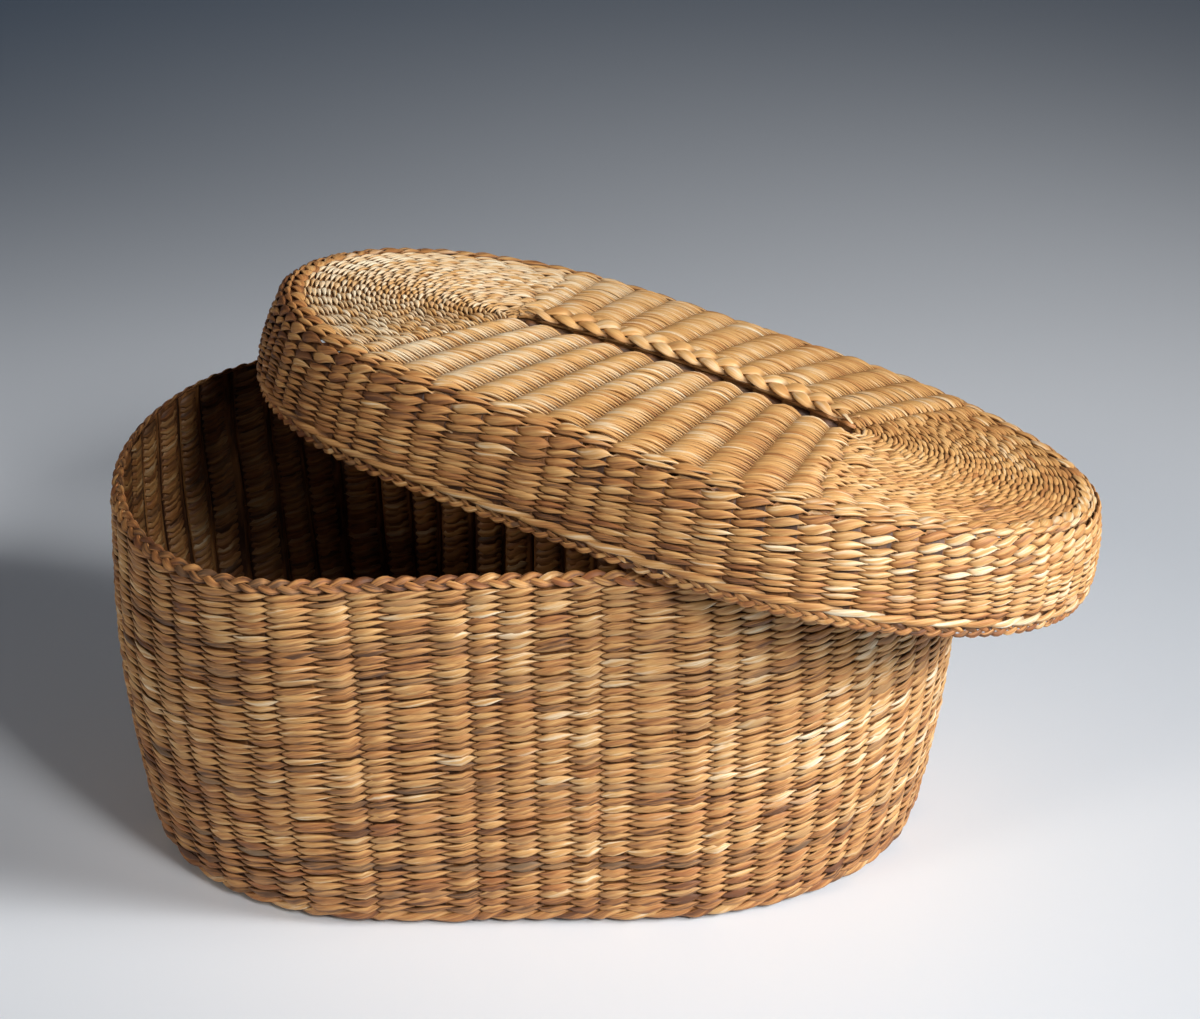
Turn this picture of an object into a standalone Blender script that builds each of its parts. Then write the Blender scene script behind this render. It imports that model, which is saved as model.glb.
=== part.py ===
"""Lidded oval basket of twined sweetgrass, with its lid set askew on the rim."""

import math

import bpy
import bmesh
import numpy as np
from mathutils import Euler, Matrix

# Driving sizes, in metres. Every oval is measured over the crests of its ribs.
GAP = 0.0003              # air between two woven pieces that touch
ROW_RIDGE = 0.0008        # how far the twist of a rope row or braid stands out

RIM_HALF_LENGTH = 0.130
RIM_HALF_WIDTH = 0.0791
RIM_LEFT_RADIUS = 0.0586  # reach of the rounded left end along X
RIM_RIGHT_RADIUS = 0.0927
BODY_HEIGHT = 0.1210      # wall height at mid length, to the foot of the rim braid
RIM_PEAK = 0.0156         # the rim is highest this far right of mid length
RIM_CLIMB_SHARE = 0.029   # rise of the last rows on the way there, as a share of the length
RIM_FALL_SHARE = 0.025    # fall from there to the right end

BASE_HALF_LENGTH = 0.1209
BASE_HALF_WIDTH = 0.0724
BASE_LEFT_RADIUS = 0.0772
BASE_RIGHT_RADIUS = 0.0883
BASE_SHIFT = -0.0012      # the base sits a little left of the rim
WALL_BELLY = 0.0040       # outward bow of the wall at half height

BODY_STAKES = 68
STAKE_CROWDING = 0.16     # stakes stand closer together towards the right end
WALL_THICKNESS = 0.0042
RIB_DEPTH = 0.0013        # groove between two neighbouring stakes
WALL_BANDS = ("lower", "middle", "upper")

BASE_THICKNESS = 0.0038
FOOT_HEIGHT = 0.0055
FOOT_WIDTH = 0.0050
BRAID_HEIGHT = 0.0038
BRAID_WIDTH = 0.0048

LID_CLEARANCE = 0.0010    # play between the closed lid's skirt and the rim
LID_WALL = 0.0040
LID_LEFT_RADIUS = 0.0842
LID_RIGHT_RADIUS = 0.0952
LID_HEIGHT = 0.0347       # skirt foot to the shoulder
LID_TAPER = 0.0032        # the shoulder is this much smaller all round than the skirt's foot
LID_TOP_POINTING = 0.020  # the shoulder's right end is drawn out this much longer
LID_END_LIFT = 0.0020     # the skirt's foot rises this much towards both ends
LID_BELLY = 0.0020
LID_STAKES = 70
LID_END_CROWDING = 0.15   # the lid's stakes stand closer together round both ends
LID_BRAID_HEIGHT = 0.0040
BINDING_HEIGHT = 0.0030
SHOULDER_HEIGHT = 0.0045
SHOULDER_WIDTH = 0.0050
SHOULDER_RISE = 0.0007
COARSE_WEFT_SHARE = 0.5   # share of the skirt that the thick upper wefts fill

TOP_THICKNESS = 0.0032
TOP_DOME = 0.0035
TOP_RIB_DEPTH = 0.0009
SEAM_HALF_LENGTH = 0.0553
SEAM_CENTRE = (-0.0021, -0.0020)
SEAM_BOW = 0.0060
SLIT_WIDTH = 0.0016
PANEL_SPREAD = 0.012      # how far a panel's ribs fan out beyond each end of the seam

PLAIT_OFFSET = 0.0052     # plait's centre line, behind the slit
PLAIT_TURNS = 4.5
PLAIT_SWAY = 0.0030
PLAIT_LIFT = 0.00135
PLAIT_STRAND_WIDTH = 0.0026
PLAIT_STRAND_THICKNESS = 0.0016

# Where the lid lies at rest: the centre of its skirt's foot, and its turn in degrees
LID_SHIFT = (0.0389, 0.0050)
LID_DROP = 0.0100         # below the foot of the rim braid
LID_TURN = (-12.63, 6.36, -27.98)

# Straw colours, as linear red, green and blue
HONEY = (0.46, 0.27, 0.11)
TAN = (0.52, 0.34, 0.16)
CREAM = (0.62, 0.45, 0.25)
RUSSET = (0.36, 0.17, 0.07)


class Oval:
    """Closed outline with a straight front and back and two elliptical ends."""

    def __init__(self, half_length, half_width, left_radius, right_radius, shift=0.0):
        self.sizes = (half_length, half_width, left_radius, right_radius)
        self.shift = shift
        angle = np.linspace(0.0, 0.5 * math.pi, 181)
        left = np.column_stack((-half_length + left_radius * (1.0 - np.cos(angle)),
                                -half_width * np.sin(angle)))
        right = np.column_stack((half_length - right_radius * (1.0 - np.sin(angle)),
                                 -half_width * np.cos(angle)))
        front = np.vstack((left, right))
        back = front[-2::-1] * (1.0, -1.0)
        points = np.vstack((front, back)) + (shift, 0.0)
        steps = np.linalg.norm(np.diff(points, axis=0), axis=1)
        self.points = points
        self.run = np.concatenate(((0.0,), np.cumsum(steps)))

    def shrunk(self, depth):
        """The outline that lies inside this one by depth."""
        return Oval(*(size - depth for size in self.sizes), self.shift)

    def blended(self, other, share):
        """The outline part of the way from this one to the other."""
        sizes = (a + (b - a) * share for a, b in zip(self.sizes, other.sizes))
        return Oval(*sizes, self.shift + (other.shift - self.shift) * share)

    def at(self, fraction, outward=0.0):
        """Point at a fraction of the way round from the left tip, by way of the front."""
        distance = (fraction % 1.0) * self.run[-1]
        ahead = np.array([np.interp(distance + 1e-4, self.run, self.points[:, i]) for i in (0, 1)])
        behind = np.array([np.interp(distance - 1e-4, self.run, self.points[:, i]) for i in (0, 1)])
        place = np.array([np.interp(distance, self.run, self.points[:, i]) for i in (0, 1)])
        along = ahead - behind
        normal = np.array((along[1], -along[0])) / np.linalg.norm(along)
        return place + normal * outward

    def length(self):
        """Distance all the way round."""
        return self.run[-1]


RIM = Oval(RIM_HALF_LENGTH, RIM_HALF_WIDTH, RIM_LEFT_RADIUS, RIM_RIGHT_RADIUS)
BASE = Oval(BASE_HALF_LENGTH, BASE_HALF_WIDTH, BASE_LEFT_RADIUS, BASE_RIGHT_RADIUS, BASE_SHIFT)
LID_REACH = LID_CLEARANCE + LID_WALL
LID_FOOT = Oval(RIM_HALF_LENGTH + LID_REACH, RIM_HALF_WIDTH + LID_REACH,
                LID_LEFT_RADIUS, LID_RIGHT_RADIUS)
LID_SHOULDER = Oval(LID_FOOT.sizes[0] - LID_TAPER, LID_FOOT.sizes[1] - LID_TAPER,
                    LID_LEFT_RADIUS - LID_TAPER, LID_RIGHT_RADIUS - LID_TAPER + LID_TOP_POINTING)


def body_outline(share):
    """Crest outline of the wall at a share of its height, and the outward bow there."""
    return BASE.blended(RIM, share), WALL_BELLY * math.sin(math.pi * share)


def lid_outline(share):
    """Crest outline of the lid's skirt at a share of its height, and its bow."""
    return LID_FOOT.blended(LID_SHOULDER, share), LID_BELLY * math.sin(math.pi * share)


def rim_rise(x):
    """How far the rim at x lies above its height at mid length."""
    return RIM_CLIMB_SHARE * min(x, RIM_PEAK) - RIM_FALL_SHARE * max(x - RIM_PEAK, 0.0)


def body_stake(position):
    """Fraction round the wall of a stake number, which need not be whole."""
    phase = 2.0 * math.pi * position / BODY_STAKES
    return position / BODY_STAKES + STAKE_CROWDING * math.sin(phase) / (2.0 * math.pi)


def lid_stake(position):
    """Fraction round the lid of a stake number, which need not be whole."""
    phase = 2.0 * math.pi * position / LID_STAKES
    return position / LID_STAKES - LID_END_CROWDING * math.sin(2.0 * phase) / (4.0 * math.pi)


def straw(name, colour, roughness):
    """Plain straw material for one piece."""
    material = bpy.data.materials.new(name + "_straw")
    material.use_nodes = True
    shader = material.node_tree.nodes["Principled BSDF"]
    shader.inputs["Base Color"].default_value = (*colour, 1.0)
    shader.inputs["Roughness"].default_value = roughness
    shader.inputs["Metallic"].default_value = 0.0
    material.diffuse_color = (*colour, 1.0)
    return material


def add_piece(name, vertices, faces, colour, parent=None, roughness=0.55):
    """Make one named piece from its vertices and faces."""
    mesh = bpy.data.meshes.new(name)
    mesh.from_pydata([tuple(v) for v in vertices], [], faces)
    shape = bmesh.new()
    shape.from_mesh(mesh)
    bmesh.ops.recalc_face_normals(shape, faces=shape.faces)
    bmesh.ops.triangulate(shape, faces=[f for f in shape.faces if len(f.verts) > 3])
    shape.to_mesh(mesh)
    shape.free()
    mesh.materials.append(straw(name, colour, roughness))
    piece = bpy.data.objects.new(name, mesh)
    bpy.context.collection.objects.link(piece)
    piece.parent = parent
    return piece


def loft(sections):
    """Vertices and faces of a closed ring through sections that have equal numbers of points."""
    sides = len(sections[0])
    vertices = [point for section in sections for point in section]
    faces = []
    for i in range(len(sections)):
        here = i * sides
        there = (i + 1) % len(sections) * sides
        for j in range(sides):
            k = (j + 1) % sides
            faces.append((here + j, there + j, there + k, here + k))
    return vertices, faces


def ribbed_band(outline_at, stake_at, stakes, share_levels, thickness, height_at):
    """Twined band: an outer face ribbed by its stakes and a plain inner face."""
    rib = ((0.0, -RIB_DEPTH), (0.28, 0.0), (0.72, 0.0))
    vertices = []
    for share in share_levels:
        outline, bow = outline_at(share)
        for stake in range(stakes):
            for step, depth in rib:
                x, y = outline.at(stake_at(stake + step), bow + depth)
                vertices.append((x, y, height_at(x, share)))
    outer = len(rib) * stakes
    for share in share_levels:
        outline, bow = outline_at(share)
        for stake in range(stakes):
            x, y = outline.at(stake_at(stake), bow - thickness)
            vertices.append((x, y, height_at(x, share)))
    low_in = 2 * outer
    high_in = low_in + stakes
    faces = []
    for i in range(outer):
        j = (i + 1) % outer
        faces.append((i, j, outer + j, outer + i))
    for stake in range(stakes):
        after = (stake + 1) % stakes
        faces.append((low_in + stake, high_in + stake, high_in + after, low_in + after))
        first = len(rib) * stake
        last = (first + len(rib)) % outer
        for ring, inner in ((0, low_in), (outer, high_in)):
            faces.append((ring + first, ring + first + 1, inner + stake))
            faces.append((ring + first + 1, ring + first + 2, inner + after, inner + stake))
            faces.append((ring + first + 2, ring + last, inner + after))
    return vertices, faces


def rope_ring(outline, stake_at, stakes, width, low, high, height_at, lean=0.5):
    """Row of slanting strands: a low ring whose outer edge swells once for each stake."""
    sections = []
    for half in range(2 * stakes):
        swell = ROW_RIDGE if half % 2 else 0.0
        foot = stake_at((half - lean) / 2.0)
        here = stake_at(half / 2.0)
        middle = 0.5 * (low + high)
        ring = ((foot, -0.3 * width, low), (here, swell, middle),
                (here, -0.3 * width, high), (here, -width, middle))
        section = []
        for fraction, outward, level in ring:
            x, y = outline.at(fraction, outward)
            section.append((x, y, height_at(x, level)))
        sections.append(section)
    return loft(sections)


def braid_ring(outline, stake_at, stakes, width, low, high, height_at):
    """Plaited border: a ring with a low ridge on top that swells once for each stake."""
    sections = []
    for half in range(2 * stakes):
        swell = ROW_RIDGE if half % 2 else 0.0
        fraction = stake_at(half / 2.0)
        ring = ((-GAP, low), (swell - 0.15 * width, high), (-0.85 * width, high - swell),
                (GAP - width, low))
        section = []
        for outward, level in ring:
            x, y = outline.at(fraction, outward)
            section.append((x, y, height_at(x, level)))
        sections.append(section)
    return loft(sections)


def build_base():
    """Woven oval bottom, flat underneath, let into the foot row."""
    outline = BASE.shrunk(FOOT_WIDTH + GAP)
    steps = BODY_STAKES
    edge = [outline.at(body_stake(i)) for i in range(steps)]
    inside = [outline.shrunk(BASE_THICKNESS).at(body_stake(i)) for i in range(steps)]
    rings = ((edge, 0.0), (edge, BASE_THICKNESS - ROW_RIDGE), (inside, BASE_THICKNESS))
    vertices = [(x, y, z) for ring, z in rings for x, y in ring]
    faces = [tuple(range(steps)), tuple(range(2 * steps, 3 * steps))]
    for ring in range(2):
        for i in range(steps):
            j = (i + 1) % steps
            here = ring * steps
            faces.append((here + i, here + j, here + steps + j, here + steps + i))
    add_piece("base_mat", vertices, faces, TAN)


def build_foot():
    """Thick rope row that turns the stakes from the base into the wall."""
    sections = []
    for half in range(2 * BODY_STAKES):
        swell = ROW_RIDGE if half % 2 else 0.0
        here = body_stake(half / 2.0)
        ahead = body_stake((half + 1) / 2.0)
        ring = ((here, swell - GAP, 0.0), (ahead, swell, FOOT_HEIGHT),
                (here, -FOOT_WIDTH, FOOT_HEIGHT), (here, -FOOT_WIDTH, 0.0))
        sections.append([(*BASE.at(f, out), z) for f, out, z in ring])
    vertices, faces = loft(sections)
    add_piece("foot_row", vertices, faces, TAN)


def build_wall():
    """Three bands of twined rows, from the foot row to the rim braid."""
    low = FOOT_HEIGHT + GAP
    rise = (BODY_HEIGHT - GAP - low) / len(WALL_BANDS)
    for number, name in enumerate(WALL_BANDS):
        bottom = low + number * rise + (GAP if number else 0.0)
        top = low + (number + 1) * rise
        shares = (bottom / BODY_HEIGHT, top / BODY_HEIGHT)

        def height_at(x, share):
            slant = (share * BODY_HEIGHT - low) / (BODY_HEIGHT - low)
            return share * BODY_HEIGHT + slant * rim_rise(x)

        vertices, faces = ribbed_band(body_outline, body_stake, BODY_STAKES, shares,
                                      WALL_THICKNESS, height_at)
        add_piece("wall_wefts_" + name, vertices, faces, HONEY)


def build_rim():
    """Border that the stakes' ends are plaited into."""

    def height_at(x, level):
        return level + rim_rise(x)

    vertices, faces = braid_ring(RIM, body_stake, BODY_STAKES, BRAID_WIDTH,
                                 BODY_HEIGHT, BODY_HEIGHT + BRAID_HEIGHT, height_at)
    add_piece("rim_braid", vertices, faces, RUSSET)


def lid_height(x, level):
    """Height in the lid of a point at x on a row that lies at level at mid length."""
    lift = LID_END_LIFT * (x / LID_FOOT.sizes[0]) ** 2
    return level + lift * max(0.0, 1.0 - level / LID_HEIGHT)


def build_skirt(lid):
    """The lid's side: plaited edge, binding row, fine rows, coarse rows and shoulder row."""
    vertices, faces = braid_ring(LID_FOOT, lid_stake, LID_STAKES, LID_WALL,
                                 0.0, LID_BRAID_HEIGHT, lid_height)
    add_piece("lid_rim_braid", vertices, faces, RUSSET, lid)

    bottom = LID_BRAID_HEIGHT + GAP
    outline, bow = lid_outline(bottom / LID_HEIGHT)
    vertices, faces = rope_ring(outline, lid_stake, LID_STAKES, LID_WALL,
                                bottom, bottom + BINDING_HEIGHT, lid_height)
    add_piece("lid_binding_row", vertices, faces, TAN, lid)

    low = bottom + BINDING_HEIGHT + GAP
    high = LID_HEIGHT - SHOULDER_HEIGHT - GAP
    middle = high - COARSE_WEFT_SHARE * (high - low)
    for name, levels in (("fine", (low, middle - GAP)), ("coarse", (middle, high))):
        shares = tuple(level / LID_HEIGHT for level in levels)
        vertices, faces = ribbed_band(lid_outline, lid_stake, LID_STAKES, shares, LID_WALL,
                                      lambda x, share: lid_height(x, share * LID_HEIGHT))
        add_piece("lid_skirt_" + name + "_wefts", vertices, faces, HONEY, lid)

    vertices, faces = rope_ring(LID_SHOULDER, lid_stake, LID_STAKES, SHOULDER_WIDTH,
                                LID_HEIGHT - SHOULDER_HEIGHT, LID_HEIGHT + SHOULDER_RISE,
                                lid_height)
    add_piece("lid_shoulder_row", vertices, faces, TAN, lid)


TOP_EDGE = LID_SHOULDER.shrunk(SHOULDER_WIDTH + GAP)


def dome_height(x, y):
    """Height of the lid's top over a point of its plan."""
    reach = (x / LID_SHOULDER.sizes[0]) ** 2 + (y / LID_SHOULDER.sizes[1]) ** 2
    return LID_HEIGHT + TOP_DOME * max(0.0, 1.0 - reach)


def seam_point(share, behind=0.0):
    """Point on the bowed seam, from its left end at 0 to its right end at 1."""
    across = 2.0 * share - 1.0
    x = SEAM_CENTRE[0] + across * SEAM_HALF_LENGTH
    y = SEAM_CENTRE[1] + SEAM_BOW * (1.0 - across * across) + behind
    return np.array((x, y))


def edge_fraction(x, front):
    """Fraction round the top's edge of the point at x on its front or back."""
    points = TOP_EDGE.points
    half = len(points) // 2
    rows = slice(0, half + 1) if front else slice(half, None)
    places = points[rows, 0] if front else points[rows, 0][::-1]
    runs = TOP_EDGE.run[rows] if front else TOP_EDGE.run[rows][::-1]
    return float(np.interp(x, places, runs)) / TOP_EDGE.length()


def top_slab(name, inner, outer, ribs, lid, rows=3):
    """Ribbed slab of the lid's top between an inner line and the shoulder row."""
    rib = ((0.0, -TOP_RIB_DEPTH), (0.3, 0.0), (0.7, 0.0))
    columns = [(stake + step, depth) for stake in range(ribs) for step, depth in rib]
    columns.append((ribs, -TOP_RIB_DEPTH))
    top = []
    bottom = []
    for row in range(rows):
        reach = row / (rows - 1)
        for place, depth in columns:
            share = place / ribs
            x, y = inner(share) * (1.0 - reach) + outer(share) * reach
            height = dome_height(x, y)
            fade = min(1.0, 2.0 * reach + 0.5)
            top.append((x, y, height + depth * fade))
            bottom.append((x, y, height - TOP_THICKNESS))
    wide = len(columns)
    count = len(top)
    faces = []
    for row in range(rows - 1):
        for i in range(wide - 1):
            a = row * wide + i
            b = a + wide
            faces.append((a, a + 1, b + 1, b))
            faces.append((count + a, count + b, count + b + 1, count + a + 1))
    border = list(range(wide)) + [r * wide + wide - 1 for r in range(1, rows)]
    border += list(range(rows * wide - 2, (rows - 1) * wide - 1, -1))
    border += [r * wide for r in range(rows - 2, 0, -1)]
    for i, a in enumerate(border):
        b = border[(i + 1) % len(border)]
        faces.append((a, b, count + b, count + a))
    add_piece(name, top + bottom, faces, CREAM, lid)


def build_top(lid):
    """Two ribbed panels beside the seam and a fan of stakes at each end."""
    side = GAP / TOP_EDGE.length()
    left = SEAM_CENTRE[0] - SEAM_HALF_LENGTH - PANEL_SPREAD
    right = SEAM_CENTRE[0] + SEAM_HALF_LENGTH + PANEL_SPREAD
    front = (edge_fraction(left, True), edge_fraction(right, True))
    back = (edge_fraction(right, False), edge_fraction(left, False))
    pitch = LID_STAKES / (1.0 + LID_END_CROWDING)
    panel_ribs = round((front[1] - front[0]) * pitch)
    fan_ribs = (LID_STAKES - 2 * panel_ribs) // 2

    def between(ends):
        return lambda share: TOP_EDGE.at(ends[0] + (ends[1] - ends[0]) * share)

    slit = 0.5 * SLIT_WIDTH
    top_slab("lid_top_front", lambda share: seam_point(share, -slit),
             between((front[0] + side, front[1] - side)), panel_ribs, lid)
    top_slab("lid_top_back", lambda share: seam_point(1.0 - share, slit),
             between((back[0] + side, back[1] - side)), panel_ribs, lid)

    def fan_centre(end):
        """Small half circle at a seam's end, round which the fan's stakes turn."""
        start = 0.5 * math.pi if end else -0.5 * math.pi
        place = seam_point(end) + np.array((2.0 * GAP if end else -2.0 * GAP, 0.0))
        turn = math.pi if end else -math.pi

        def inner(share):
            angle = start - turn + turn * share if end else start + turn * share
            return place + slit * np.array((math.cos(angle), math.sin(angle)))

        return inner

    top_slab("lid_fan_right", fan_centre(1.0), between((front[1], back[0])), fan_ribs, lid)
    top_slab("lid_fan_left", fan_centre(0.0), between((back[1], 1.0 + front[0])),
             fan_ribs, lid)


def build_plait(lid):
    """Real three-strand plait along the back of the slit, each strand its own piece."""
    steps = round(12 * PLAIT_TURNS)
    sides = 6
    lift = PLAIT_LIFT + 0.5 * PLAIT_STRAND_THICKNESS

    def centre(share, lag):
        phase = 2.0 * math.pi * (PLAIT_TURNS * share + lag)
        x, y = seam_point(share, PLAIT_OFFSET + PLAIT_SWAY * math.sin(phase))
        return np.array((x, y, dome_height(x, y) + lift + PLAIT_LIFT * math.sin(2.0 * phase)))

    for strand in range(3):
        lag = strand / 3.0
        sections = []
        for step in range(steps + 1):
            share = step / steps
            along = centre(share + 0.002, lag) - centre(share - 0.002, lag)
            along /= np.linalg.norm(along)
            across = np.cross((0.0, 0.0, 1.0), along)
            across /= np.linalg.norm(across)
            up = np.cross(along, across)
            ring = []
            for side in range(sides):
                angle = 2.0 * math.pi * side / sides
                ring.append(centre(share, lag)
                            + across * 0.5 * PLAIT_STRAND_WIDTH * math.cos(angle)
                            + up * 0.5 * PLAIT_STRAND_THICKNESS * math.sin(angle))
            sections.append(ring)
        vertices, faces = loft(sections)
        faces = faces[:-sides]
        last = len(vertices) - sides
        faces += [tuple(range(sides)), tuple(range(last, last + sides))]
        add_piece("plait_strand_%d" % (strand + 1), vertices, faces, RUSSET, lid)


def main():
    """Build the basket and its lid."""
    for old in list(bpy.data.objects):
        bpy.data.objects.remove(old, do_unlink=True)
    build_base()
    build_foot()
    build_wall()
    build_rim()
    lid = bpy.data.objects.new("lid_place", None)
    bpy.context.collection.objects.link(lid)
    turn = Euler([math.radians(angle) for angle in LID_TURN], "XYZ").to_matrix().to_4x4()
    lid.matrix_world = Matrix.Translation((*LID_SHIFT, BODY_HEIGHT - LID_DROP)) @ turn
    build_skirt(lid)
    build_top(lid)
    build_plait(lid)
    bpy.context.view_layer.update()


main()
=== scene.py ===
import math

import bpy
import numpy as np
from mathutils import Euler, Matrix, Vector


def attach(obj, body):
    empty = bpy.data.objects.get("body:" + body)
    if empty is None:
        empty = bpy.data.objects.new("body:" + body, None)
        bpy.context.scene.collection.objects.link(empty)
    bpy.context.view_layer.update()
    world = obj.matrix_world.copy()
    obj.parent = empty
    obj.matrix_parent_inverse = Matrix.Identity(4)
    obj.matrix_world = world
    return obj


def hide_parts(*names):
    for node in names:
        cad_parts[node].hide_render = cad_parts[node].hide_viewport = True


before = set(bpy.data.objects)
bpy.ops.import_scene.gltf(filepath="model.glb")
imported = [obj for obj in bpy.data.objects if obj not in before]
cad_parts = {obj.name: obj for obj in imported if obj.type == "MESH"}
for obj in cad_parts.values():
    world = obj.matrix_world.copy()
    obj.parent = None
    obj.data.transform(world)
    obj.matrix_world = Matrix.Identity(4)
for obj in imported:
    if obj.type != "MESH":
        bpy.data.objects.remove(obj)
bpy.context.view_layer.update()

# camera, floor and light

camera = {
    "place": (-0.00026, -0.97802, 0.62566),
    "yaw": -1.1187,        # degrees
    "pitch": -28.0459,
    "roll": -0.2424,
    "lens": 108.21,        # mm on a 36 mm sensor
}

studio = {
    "floorSize": 6.0,
    "floorColour": (0.78, 0.82, 0.88, 1.0),
    "air": (0.45, 0.68, 1.0, 1.0),
    "airStrength": 0.063,
    # name: place, aim, side of the square, watts, spread in degrees, colour
    "lights": {
        "keyLight": ((0.71, -0.77, 0.68), (0.296, -0.098, 0.05), 0.65, 1.24, 26.6, (1.0, 0.985, 0.96)),
        "sideLight": ((1.04, -0.42, 0.84), (-0.285, -0.123, 0.12), 0.60, 1.65, 29.1, (1.0, 0.985, 0.96)),
        "frontLight": ((-1.85, -1.29, 1.30), (-0.02, -0.06, 0.06), 1.0, 0.66, 22.0, (1.0, 0.87, 0.72)),
    },
}


def makeCamera():
    turn = (Matrix.Rotation(math.radians(camera["yaw"]), 3, "Z")
            @ Matrix.Rotation(math.radians(90.0 + camera["pitch"]), 3, "X")
            @ Matrix.Rotation(math.radians(-camera["roll"]), 3, "Z"))
    bpy.ops.object.camera_add(location=camera["place"], rotation=turn.to_euler())
    view = bpy.context.object
    view.name = "photoCamera"
    view.data.lens = camera["lens"]
    view.data.sensor_width = 36.0
    view.data.clip_start = 0.01
    bpy.context.scene.camera = view


def makeStudio():
    bpy.ops.mesh.primitive_plane_add(size=studio["floorSize"], location=(0, 0, 0))
    floor = bpy.context.object
    floor.name = "studioFloor"
    paper = bpy.data.materials.new("studioPaper")
    paper.use_nodes = True
    shader = paper.node_tree.nodes["Principled BSDF"]
    shader.inputs["Base Color"].default_value = studio["floorColour"]
    shader.inputs["Roughness"].default_value = 0.6
    floor.data.materials.append(paper)
    for name, (place, target, side, power, spread, colour) in studio["lights"].items():
        aim = (Vector(target) - Vector(place)).to_track_quat("-Z", "Y").to_euler()
        bpy.ops.object.light_add(type="AREA", location=place, rotation=aim)
        lamp = bpy.context.object
        lamp.name = name
        lamp.data.shape = "SQUARE"
        lamp.data.size = side
        lamp.data.energy = power
        lamp.data.spread = math.radians(spread)
        lamp.data.color = colour
    world = bpy.data.worlds.new("softAir")
    world.use_nodes = True
    background = world.node_tree.nodes["Background"]
    background.inputs["Color"].default_value = studio["air"]
    background.inputs["Strength"].default_value = studio["airStrength"]
    bpy.context.scene.world = world
    bpy.context.scene.view_settings.view_transform = "Standard"


bpy.ops.object.select_all(action="DESELECT")
makeCamera()
makeStudio()
print("camera and studio ready")

# straw: every strand carries its tone, tint and paintedLight as an attribute, and its own length and girth as
# a UV map tone runs from dark at 0 to cream at 1, tint is red above 0 and grey below, paintedLight is painted
# shade: 0 deep between two ribs, 1 where a strand stands out

straw = {
    "dark": (0.095, 0.036, 0.012, 1.0),
    "honey": (0.45, 0.200, 0.060, 1.0),
    "golden": (0.68, 0.385, 0.135, 1.0),
    "cream": (0.92, 0.80, 0.58, 1.0),
    "red": (0.40, 0.130, 0.036, 1.0),
    "grey": (0.31, 0.205, 0.105, 1.0),
    "fibreStretch": 45.0,     # noise cells per metre along a strand
    "fibreCount": 6.0,        # and round it
    "hairFineness": (3.0, 4.0),    # fine hairs, in fibres: along a strand and round it
    "stainSize": 38.0,        # stains per metre
    "streaks": 1.6,           # how much fibres, hairs and stains shift the tone
    "hairs": 0.5,
    "stains": 0.55,
    "roughness": (0.42, 0.30),     # the lowest, and what the hairs add to it
    "grooveShade": 0.45,      # how much colour painted shade leaves deep between two ribs
}


def node(tree, kind, **values):
    made = tree.nodes.new(kind)
    for name, value in values.items():
        setattr(made, name, value)
    return made


def mathNode(tree, operation, first, second, clamp=False):
    made = node(tree, "ShaderNodeMath", operation=operation, use_clamp=clamp)
    for slot, value in enumerate((first, second)):
        if hasattr(value, "links"):
            tree.links.new(value, made.inputs[slot])
        else:
            made.inputs[slot].default_value = value
    return made.outputs[0]


def mixColour(tree, blend, factor, first, second):
    made = node(tree, "ShaderNodeMix", data_type="RGBA", blend_type=blend)
    for slot, value in ((0, factor), (6, first), (7, second)):
        if hasattr(value, "links"):
            tree.links.new(value, made.inputs[slot])
        else:
            made.inputs[slot].default_value = value
    return made.outputs[2]


def noiseNode(tree, vector, stretch, detail):
    spread = node(tree, "ShaderNodeVectorMath", operation="MULTIPLY")
    tree.links.new(vector, spread.inputs[0])
    spread.inputs[1].default_value = stretch
    made = node(tree, "ShaderNodeTexNoise")
    made.inputs["Scale"].default_value = 1.0
    made.inputs["Detail"].default_value = detail
    made.inputs["Roughness"].default_value = 0.55
    tree.links.new(spread.outputs[0], made.inputs["Vector"])
    return made.outputs["Fac"]


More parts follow.
